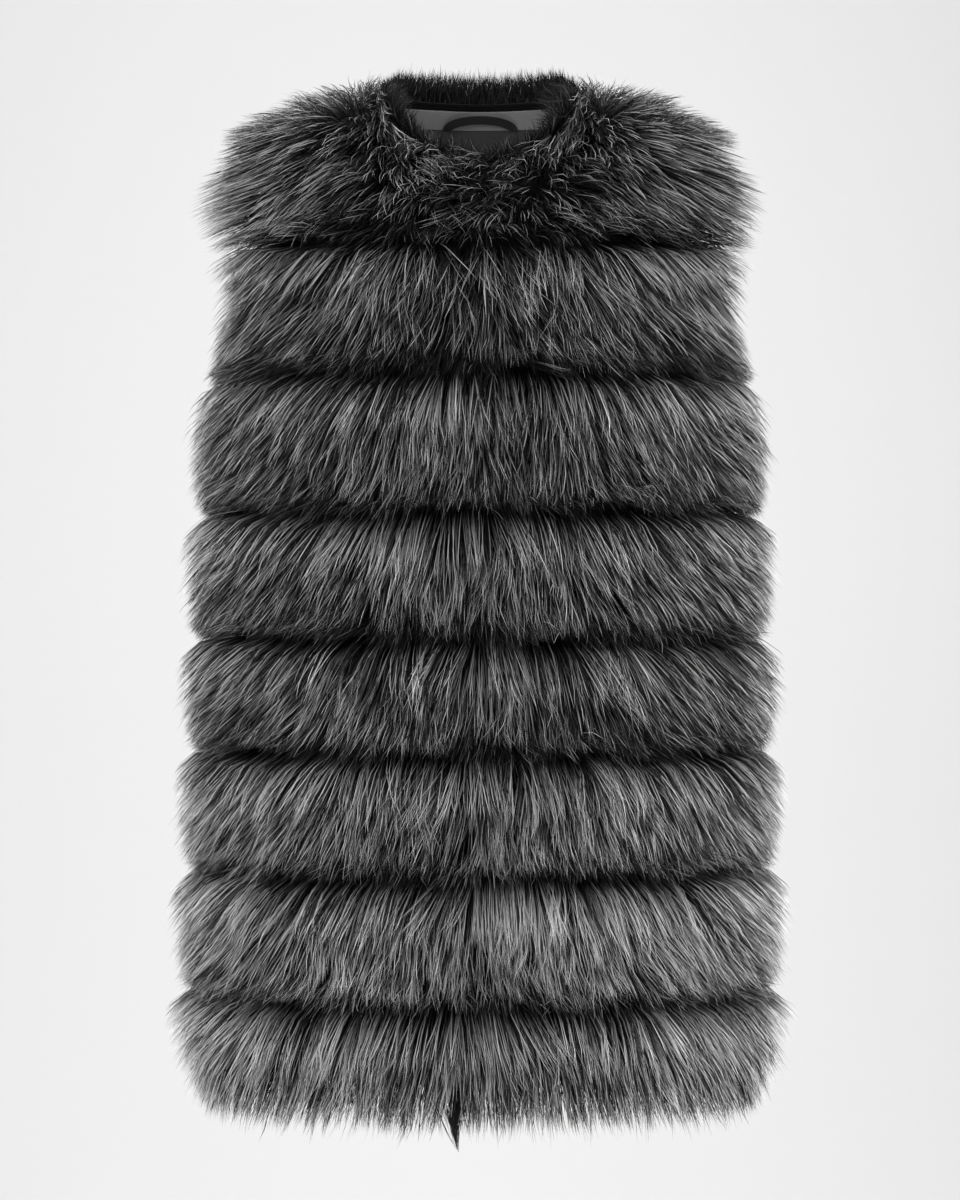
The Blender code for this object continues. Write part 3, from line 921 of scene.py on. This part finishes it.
def satin_material(name, satin, grey, sheen):
    """Satin: a fine weave that scatters a soft sheen, with a little unevenness in its shine."""
    wires = Wiring(name)
    place = wires.on_object()
    cloud = wires.node("ShaderNodeTexNoise", {"Vector": place, "Scale": 26, "Detail": 4}).outputs["Fac"]
    thread = wires.node("ShaderNodeTexNoise", {"Vector": place, "Scale": 900, "Detail": 2}).outputs["Fac"]
    colour = wires.ramp(cloud, ((0.30, grey * 0.86), (0.70, grey * 1.14)))
    terms = {0: cloud, 1: SHINE_SPREAD, 2: satin.roughness - SHINE_SPREAD / 2}
    shine = wires.node("ShaderNodeMath", terms, operation="MULTIPLY_ADD").outputs["Value"]
    wires.fill(wires.shader, {"Base Color": colour, "Roughness": shine, "Sheen Weight": sheen})
    wires.relief(thread, 0.25, 0.0003)
    return wires.material


def ribbon_material(satin):
    """The hanger loop: a tight ribbed weave along its length."""
    wires = Wiring("loop_ribbon")
    ribs = {"Vector": wires.on_map(), "Scale": 38}
    rib = wires.node("ShaderNodeTexWave", ribs, wave_type="BANDS", bands_direction="X").outputs["Fac"]
    colour = wires.ramp(rib, ((0.0, satin.ribbon_grey * 0.7), (1.0, satin.ribbon_grey * 1.3)))
    wires.surface(colour, 0.50, 0.30)
    wires.relief(rib, 0.5, 0.0003)
    return wires.material


def paper_material(stage):
    """The studio's sweep: matt pale paper."""
    wires = Wiring("studio_paper")
    grain = wires.node("ShaderNodeTexNoise", {"Vector": wires.on_object(), "Scale": 3}).outputs["Fac"]
    colour = wires.ramp(grain, ((0.0, stage.paper_grey * 0.995), (1.0, stage.paper_grey)))
    wires.surface(colour, 0.95, 0.0)
    return wires.material


def clear_of_seams(points, side):
    """Points moved off the seams at the centre front and between the front and the back."""
    points = points.copy()
    if side == FRONT:
        points[:, 0] = np.maximum(points[:, 0], SEAM_GAP / 2)
    points[:, 1] = side * np.maximum(side * points[:, 1], SEAM_GAP / 2)
    return points


def tier_place(tier, cut):
    """Where a tier's backing lies, for cloth_sheet."""

    def place(u, down):
        signed = u * 2 - 1 if cut.whole else u
        points, normals = cloth_at(tier, np.abs(signed), down, cut.side)
        points = clear_of_seams(points, cut.side)
        return mirrored(points, normals, np.where(signed < 0, -1.0, 1.0) * cut.turn)

    return place


# The one lock that hangs in a dark point below the hem, and where it ends. It is made of copies of hairs
# beside it: those that end within HEM_POINT_HALF of a place HEM_POINT_FROM to one side of it and lower
# than HEM_POINT_LOW under the hem. They are moved by HEM_POINT_SHIFT and keep HEM_POINT_TONE of their tone
HEM_POINT = (-0.0155, -0.150, -0.7985)
HEM_POINT_FROM = 0.002
HEM_POINT_SHIFT = 0.008
HEM_POINT_HALF = 0.0032
HEM_POINT_TONE = 0.15
HEM_POINT_LOW = 0.012


def hang_point(hairs, rng):
    """The hairs with a dark lock more, which gathers beside HEM_POINT and hangs down into it."""
    tips = hairs.controls[:, 3]
    aside = np.abs(tips[:, 0] - HEM_POINT[0] + HEM_POINT_FROM)
    beside = (aside < HEM_POINT_HALF) & (tips[:, 2] < HEM - HEM_POINT_LOW)
    lock = Hairs(*(part[beside] for part in hairs))
    lock.controls[:, :, 0] -= HEM_POINT_SHIFT
    pull = rng.uniform(0.6, 1.0, len(lock.tone)) ** 0.5
    for control, share in ((3, 1.0), (2, 0.45)):
        lock.controls[:, control] += (HEM_POINT - lock.controls[:, control]) * (pull * share)[:, None]
    lock.tone[:] *= HEM_POINT_TONE
    return Hairs(*(np.concatenate(parts) for parts in zip(hairs, lock)))


def add_tier(tier, cut, fur, materials):
    """A tier of fur: its backing, as a sheet, and its hairs, which replace the CAD solid."""
    node = f"{cut.label}_tier_{tier + 1}"
    place = tier_place(tier, cut)
    columns = 48 if cut.whole else 24
    mesh = cloth_sheet(f"{node}_backing", columns, 8, place, fur.backing_thickness)
    backing = show(mesh, f"{node}_backing", materials["backing"])
    rng = np.random.default_rng(fur.seed + 100 * tier + cut.seed)
    hairs = hair_curves(tier, cut, fur, rng)
    # Painted light: the yoke's outer hair, out towards the shoulder, is coloured paler or darker by the
    # cut's light, for the light that falls on that shoulder
    if tier == YOKE:
        outer = ease(0.085, 0.130, np.abs(hairs.controls[:, 0, 0]))
        hairs.tone[:] = np.minimum(hairs.tone * (1 + (cut.light - 1) * outer), 1)
    hairs.controls[:, :, 0] *= cut.turn
    hairs.out[:, 0] *= cut.turn
    if cut is RIGHT_FRONT and tier == HEM_TIER:
        hairs = hang_point(hairs, rng)
    mesh = ribbon_mesh(f"{node}_fur", hairs, rng, fur.hair_width)
    piece = show(mesh, f"{node}_fur", materials["hairs"], [node])
    declare(place)


def lining_place(cut, first, last, lift):
    """Where a lining piece lies: just inside the backing, with soft creases that stand into the hollow.
    first and last are shares of the whole drop, with each tier counting as one."""

    def place(u, down):
        signed = u * 2 - 1 if cut.whole else u
        across = np.abs(signed)
        drop = first + (last - first) * down
        tiers = np.clip(drop.astype(int), 0, HEM_TIER)
        points, normals = np.empty((len(u), 3)), np.empty((len(u), 3))
        for tier in range(HEM_TIER + 1):
            here = tiers == tier
            if here.any():
                points[here], normals[here] = cloth_at(tier, across[here], (drop - tier)[here], cut.side)
        points = clear_of_seams(points, cut.side)
        edge = np.minimum.reduce((down, 1 - down, 1 - across if cut.whole else u, 1 - across)) * 8
        rise = lift(signed * cut.turn, drop, points) * ease(0, 1, np.clip(edge, 0, 1))
        points = points - normals * (SEAM_GAP + CLOTH + rise)[:, None]
        return mirrored(points, normals, np.where(signed < 0, -1.0, 1.0) * cut.turn)

    return place


# Soft folds of the loose lining. Columns: column, lean for each tier down, half width, the tier that it
# is deepest at, how many tiers it fades over, and its share of the crease height
BACK_FOLDS = (
    (-0.93, 0.012, 0.020, 5.2, 1.6, 0.9),
    (-0.80, -0.020, 0.028, 2.1, 1.1, 0.6),
    (-0.71, 0.008, 0.022, 6.3, 0.9, 1.0),
    (-0.58, 0.026, 0.016, 3.6, 1.4, 0.7),
    (-0.44, -0.010, 0.030, 1.2, 0.8, 0.5),
    (-0.36, 0.016, 0.020, 5.7, 1.8, 1.0),
    (-0.21, -0.030, 0.024, 4.1, 0.9, 0.6),
    (-0.09, 0.004, 0.018, 6.6, 0.7, 0.8),
    (0.05, -0.014, 0.026, 4.9, 1.3, 0.7),
    (0.17, 0.022, 0.018, 2.8, 1.0, 0.9),
    (0.30, -0.006, 0.032, 6.0, 1.5, 0.8),
    (0.41, 0.034, 0.020, 1.6, 0.7, 0.6),
    (0.55, -0.018, 0.024, 4.4, 1.7, 1.0),
    (0.66, 0.010, 0.018, 6.8, 0.6, 0.7),
    (0.78, -0.024, 0.026, 3.1, 1.2, 0.8),
    (0.91, 0.006, 0.020, 5.5, 1.0, 0.9),
)
LEFT_FOLDS = (
    (0.10, 0.012, 0.030, 6.1, 1.3, 0.9),
    (0.24, -0.020, 0.024, 3.3, 1.0, 0.6),
    (0.37, 0.026, 0.036, 5.0, 1.6, 1.0),
    (0.52, -0.008, 0.022, 1.9, 0.8, 0.7),
    (0.63, 0.018, 0.028, 6.6, 0.9, 0.8),
    (0.77, -0.028, 0.034, 4.3, 1.4, 0.9),
    (0.90, 0.006, 0.026, 5.8, 1.1, 0.6),
)
RIGHT_FOLDS = (
    (0.13, -0.016, 0.026, 4.7, 1.5, 0.8),
    (0.29, 0.022, 0.032, 6.4, 1.0, 1.0),
    (0.42, -0.010, 0.022, 2.4, 0.9, 0.6),
    (0.58, 0.030, 0.030, 5.3, 1.2, 0.9),
    (0.70, -0.004, 0.024, 3.7, 0.7, 0.7),
    (0.86, -0.022, 0.036, 6.0, 1.7, 1.0),
)


def creases(folds, height):
    """How far the folds of a lining piece stand in at its columns and tiers down."""

    def lift(u, drop, points):
        total = np.zeros_like(u)
        for column, lean, half_width, deepest, fade, share in folds:
            off = (u - column - lean * (drop - deepest)) / half_width
            total += share * bump(off, 0, 1) * bump(drop, deepest, fade)
        return height * np.minimum(total, 1.6)

    return lift


# The ease pleat down the lining's centre back, a little off centre as it is sewn
PLEAT_X = -0.011
PLEAT_SPREAD = 0.0035
PLEAT_HEIGHT = 0.0022


def with_pleat(lift):
    """Adds the ease pleat, which fades out by the waist."""

    def pleated(u, drop, points):
        fold = bump(points[:, 0] * np.sign(u + 1e-9), PLEAT_X, PLEAT_SPREAD)
        return lift(u, drop, points) + PLEAT_HEIGHT * fold * (1 - ease(2.0, 4.0, drop))

    return pleated


def gentle_waves(height):
    """The facing's own unevenness, where it is eased round the neck."""

    def lift(u, drop, points):
        return height * (0.5 + 0.5 * np.sin(u * 31 + 1.0)) * (0.5 + 0.5 * np.sin(u * 13 + 2.4))

    return lift


def loop_place(u, down):
    """Where the hanger loop's ribbon lies: arched over the facing, its ends at the seam under it."""
    turn = math.pi * (1 - u)
    rim_x, rim_z = np.cos(turn), np.sin(turn)
    slant = unit(np.stack((rim_x * LOOP_RISE, rim_z * LOOP_HALF_SPAN), axis=1))
    seam_z = cloth_at(YOKE, np.zeros(1), np.full(1, FACING_DOWN), BACK)[0][0, 2]
    offset = (0.5 - down) * LOOP_WIDTH
    x = LOOP_HALF_SPAN * rim_x + slant[:, 0] * offset
    z = seam_z + LOOP_RISE * rim_z + slant[:, 1] * offset
    points, normals = on_form(x, z, BACK)
    stand = LOOP_BEHIND + CLOTH + LOOP_STAND_OFF * np.sin(turn)
    return points - normals * stand[:, None], normals


def length_value(name, description, default):
    """A length that the user can change."""
    return bpy.props.FloatProperty(name=name, description=description, default=default, unit="LENGTH")


def share_value(name, description, default):
    """A grey or a share from 0 to 1 that the user can change."""
    return bpy.props.FloatProperty(name=name, description=description, default=default, subtype="FACTOR")


class VestFurSettings(bpy.types.PropertyGroup):
    """The fur's hairs, their tones and their backing"""

    hairs_per_cm2: bpy.props.FloatProperty(
        name="Hairs per cm2", description="Hairs on each square centimetre", default=28.5, min=2, max=40
    )
    hairs_per_lock: bpy.props.FloatProperty(
        name="Hairs per lock", description="Hairs that gather to one tip", default=13.0, min=1, max=60
    )
    hair_width: length_value("Hair width", "Widest part of a hair", 0.00072)
    undercoat: share_value("Undercoat", "Share of the hairs that stay short and dark", 0.42)
    clumping: share_value("Clumping", "How far a lock's tips draw together", 0.30)
    dark_tip: share_value("Dark tip grey", "Tip of the darkest hairs", 0.012)
    pale_tip: share_value("Pale tip grey", "Tip of the palest hairs", 0.68)
    backing_thickness: length_value("Backing thickness", "Knitted ground under the hair", 0.0014)
    seed: bpy.props.IntProperty(name="Seed", description="Start of the random draws", default=41)


class VestSatinSettings(bpy.types.PropertyGroup):
    """Colours and finish of the lining, the facing and the loop"""

    lining_grey: share_value("Lining grey", "Lining colour", 0.038)
    facing_grey: share_value("Facing grey", "Neck facing colour", 0.215)
    ribbon_grey: share_value("Ribbon grey", "Hanger loop colour", 0.014)
    roughness: share_value("Roughness", "Roughness of the satin", 0.42)
    crease_height: length_value("Crease height", "How far folds of the lining stand in", 0.0035)


class VestStageSettings(bpy.types.PropertyGroup):
    """The paper sweep and the camera"""

    floor_height: length_value("Floor height", "Height of the studio floor", -1.75)
    paper_grey: share_value("Paper grey", "Colour of the floor and backdrop", 0.795)
    camera_distance: length_value("Camera distance", "Camera to the shoulder seams", 2.6)
    camera_height: length_value("Camera height", "Height of the level camera", -0.392)
    frame_height: length_value("Frame height", "What the camera takes in, top to bottom", 0.936)


def fur_materials(fur):
    """The hairs' and the backing's materials, made when they are first asked for."""
    stored = bpy.data.materials
    return {
        "hairs": stored.get("fur_hairs") or fur_material(fur),
        "backing": stored.get("fur_backing") or backing_material(),
    }


class VEST_OT_fronts(bpy.types.Operator):
    """Build both fronts, tier by tier"""

    bl_idname = "vest.fronts"
    bl_label = "Fur fronts"

    def execute(self, context):
        fur = context.scene.vest_fur
        materials = fur_materials(fur)
        for tier in range(len(TIERS)):
            add_tier(tier, LEFT_FRONT, fur, materials)
            add_tier(tier, RIGHT_FRONT, fur, materials)
        return {"FINISHED"}


class VEST_OT_back(bpy.types.Operator):
    """Build the back, tier by tier"""

    bl_idname = "vest.back"
    bl_label = "Fur back"

    def execute(self, context):
        fur = context.scene.vest_fur
        materials = fur_materials(fur)
        for tier in range(len(TIERS)):
            add_tier(tier, WHOLE_BACK, fur, materials)
        return {"FINISHED"}


def add_satin(node, material, columns, rows, place):
    """A piece of satin in place of its CAD solid, as a sheet."""
    mesh = cloth_sheet(f"{node}_satin", columns, rows, place, CLOTH)
    piece = show(mesh, f"{node}_satin", material, [node])
    declare(place)


class VEST_OT_lining(bpy.types.Operator):
    """Build the satin lining of the fronts and the back"""

    bl_idname = "vest.lining"
    bl_label = "Lining"

    def execute(self, context):
        satin = context.scene.vest_satin
        material = satin_material("lining_satin", satin, satin.lining_grey, 0.10)
        height = satin.crease_height
        pleated = with_pleat(creases(BACK_FOLDS, height))
        specs = (
            (LEFT_FRONT, 24, 0.0, creases(LEFT_FOLDS, height)),
            (RIGHT_FRONT, 24, 0.0, creases(RIGHT_FOLDS, height)),
            (WHOLE_BACK, 56, LINING_TOP, pleated),
        )
        for cut, columns, top, lift in specs:
            place = lining_place(cut, top, LINING_END, lift)
            add_satin(f"lining_{cut.label}", material, columns, 72, place)
        return {"FINISHED"}


class VEST_OT_neck(bpy.types.Operator):
    """Build the neck facing and the ribbon loop on it"""

    bl_idname = "vest.neck"
    bl_label = "Neck facing and hanger loop"

    def execute(self, context):
        satin = context.scene.vest_satin
        ribbon = ribbon_material(satin)
        mesh = cloth_sheet("hanger_loop_ribbon", 64, 4, loop_place, CLOTH * 0.7)
        loop = show(mesh, "hanger_loop_ribbon", ribbon, ["hanger_loop"])
        facing = satin_material("facing_satin", satin, satin.facing_grey, 0.25)
        place = lining_place(WHOLE_BACK, FACING_TOP, FACING_DOWN, gentle_waves(0.0008))
        add_satin("back_neck_facing", facing, 72, 8, place)
        return {"FINISHED"}


# The paper sweep: its front edge, its upright, half its width, the radius of its bend and its height
SWEEP_FRONT = -6.0
SWEEP_BACK = 4.0
SWEEP_HALF = 5.0
SWEEP_BEND = 1.5
SWEEP_HEIGHT = 7.0
BEND_STEPS = 12

# The soft lights that face the vest: name, place, width and height, and power
LIGHTS = (
    ("key", (-0.9, -2.2, 0.7), (1.2, 1.2), 37),
    ("left_edge", (-2.0, 0.1, 0.1), (0.8, 2.0), 54),
    ("right_edge", (2.0, 0.1, 0.1), (0.8, 2.0), 114),
    ("top", (-0.8, -0.4, 1.7), (1.6, 1.0), 20),
)


def add_area_light(name, place, target, size, power):
    """A soft light at place that faces target."""
    light = bpy.data.lights.new(name, "AREA")
    light.shape = "RECTANGLE"
    light.size, light.size_y = size
    light.energy = power
    lamp = bpy.data.objects.new(name, light)
    bpy.context.scene.collection.objects.link(lamp)
    lamp.location = place
    lamp.rotation_euler = (Vector(target) - lamp.location).to_track_quat("-Z", "Y").to_euler()


def sweep_mesh(floor):
    """The paper sweep: a floor that bends up into a backdrop."""
    bm = bmesh.new()
    profile = [(SWEEP_FRONT, floor), (SWEEP_BACK - SWEEP_BEND, floor)]
    for step in range(1, BEND_STEPS + 1):
        turn = math.pi / 2 * step / BEND_STEPS
        y = SWEEP_BACK - SWEEP_BEND + SWEEP_BEND * math.sin(turn)
        profile.append((y, floor + SWEEP_BEND * (1 - math.cos(turn))))
    profile.append((SWEEP_BACK, floor + SWEEP_HEIGHT))
    line = [bm.verts.new((-SWEEP_HALF, y, z)) for y, z in profile]
    edges = [bm.edges.new(pair) for pair in zip(line, line[1:])]
    swept = bmesh.ops.extrude_edge_only(bm, edges=edges)["geom"]
    far_side = [part for part in swept if isinstance(part, bmesh.types.BMVert)]
    bmesh.ops.translate(bm, vec=(2 * SWEEP_HALF, 0, 0), verts=far_side)
    bmesh.ops.recalc_face_normals(bm, faces=bm.faces[:])
    mesh = bpy.data.meshes.new("studio_sweep")
    bm.to_mesh(mesh)
    bm.free()
    mesh.shade_smooth()
    return mesh


class VEST_OT_stage(bpy.types.Operator):
    """Build the pale sweep, the soft lights and the camera"""

    bl_idname = "vest.stage"
    bl_label = "Stage"

    def execute(self, context):
        stage = context.scene.vest_stage
        scene = context.scene
        mesh = sweep_mesh(stage.floor_height)
        mesh.materials.append(paper_material(stage))
        sweep = bpy.data.objects.new("studio_sweep", mesh)
        scene.collection.objects.link(sweep)

        world = bpy.data.worlds.new("studio_air")
        world.use_nodes = True
        air = world.node_tree.nodes["Background"]
        air.inputs["Color"].default_value = (1, 1, 1, 1)
        air.inputs["Strength"].default_value = 0.42
        scene.world = world
        for name, place, size, power in LIGHTS:
            add_area_light(name, place, (0, 0, stage.camera_height), size, power)
        wall = (0, SWEEP_BACK, stage.camera_height)
        add_area_light("backdrop", (0.0, 1.4, 2.2), wall, (4.0, 1.5), 19)

        lens = bpy.data.cameras.new("camera")
        lens.sensor_fit = "VERTICAL"
        lens.sensor_height = 24.0
        lens.lens = lens.sensor_height * stage.camera_distance / stage.frame_height
        camera = bpy.data.objects.new("camera", lens)
        camera.location = (0, -stage.camera_distance, stage.camera_height)
        camera.rotation_euler = (math.pi / 2, 0, 0)
        scene.collection.objects.link(camera)
        scene.camera = camera
        scene.view_settings.view_transform = "Standard"
        return {"FINISHED"}


OPERATORS = (VEST_OT_fronts, VEST_OT_back, VEST_OT_lining, VEST_OT_neck, VEST_OT_stage)


class VEST_PT_panel(bpy.types.Panel):
    """Sizes, colours and the steps that build the vest"""

    bl_label = "Faux fur vest"
    bl_idname = "VEST_PT_panel"
    bl_space_type = "VIEW_3D"
    bl_region_type = "UI"
    bl_category = "Vest"

    def draw(self, context):
        for settings in (context.scene.vest_fur, context.scene.vest_satin, context.scene.vest_stage):
            box = self.layout.box()
            for name in settings.bl_rna.properties.keys():
                if name not in ("rna_type", "name"):
                    box.prop(settings, name)
        for operator in OPERATORS:
            self.layout.operator(operator.bl_idname)


SETTINGS = {"vest_fur": VestFurSettings, "vest_satin": VestSatinSettings, "vest_stage": VestStageSettings}
CLASSES = (*SETTINGS.values(), *OPERATORS, VEST_PT_panel)


def register():
    """Makes the classes and the scene's settings known."""
    for kind in CLASSES:
        bpy.utils.register_class(kind)
    for name, kind in SETTINGS.items():
        setattr(bpy.types.Scene, name, bpy.props.PointerProperty(type=kind))


def unregister():
    """Takes them away again."""
    for name in SETTINGS:
        delattr(bpy.types.Scene, name)
    for kind in reversed(CLASSES):
        bpy.utils.unregister_class(kind)


def main():
    """Builds the vest and its stage in order."""
    register()
    bpy.ops.vest.fronts()
    bpy.ops.vest.back()
    bpy.ops.vest.lining()
    bpy.ops.vest.neck()
    bpy.ops.vest.stage()


if __name__ == "__main__":
    main()
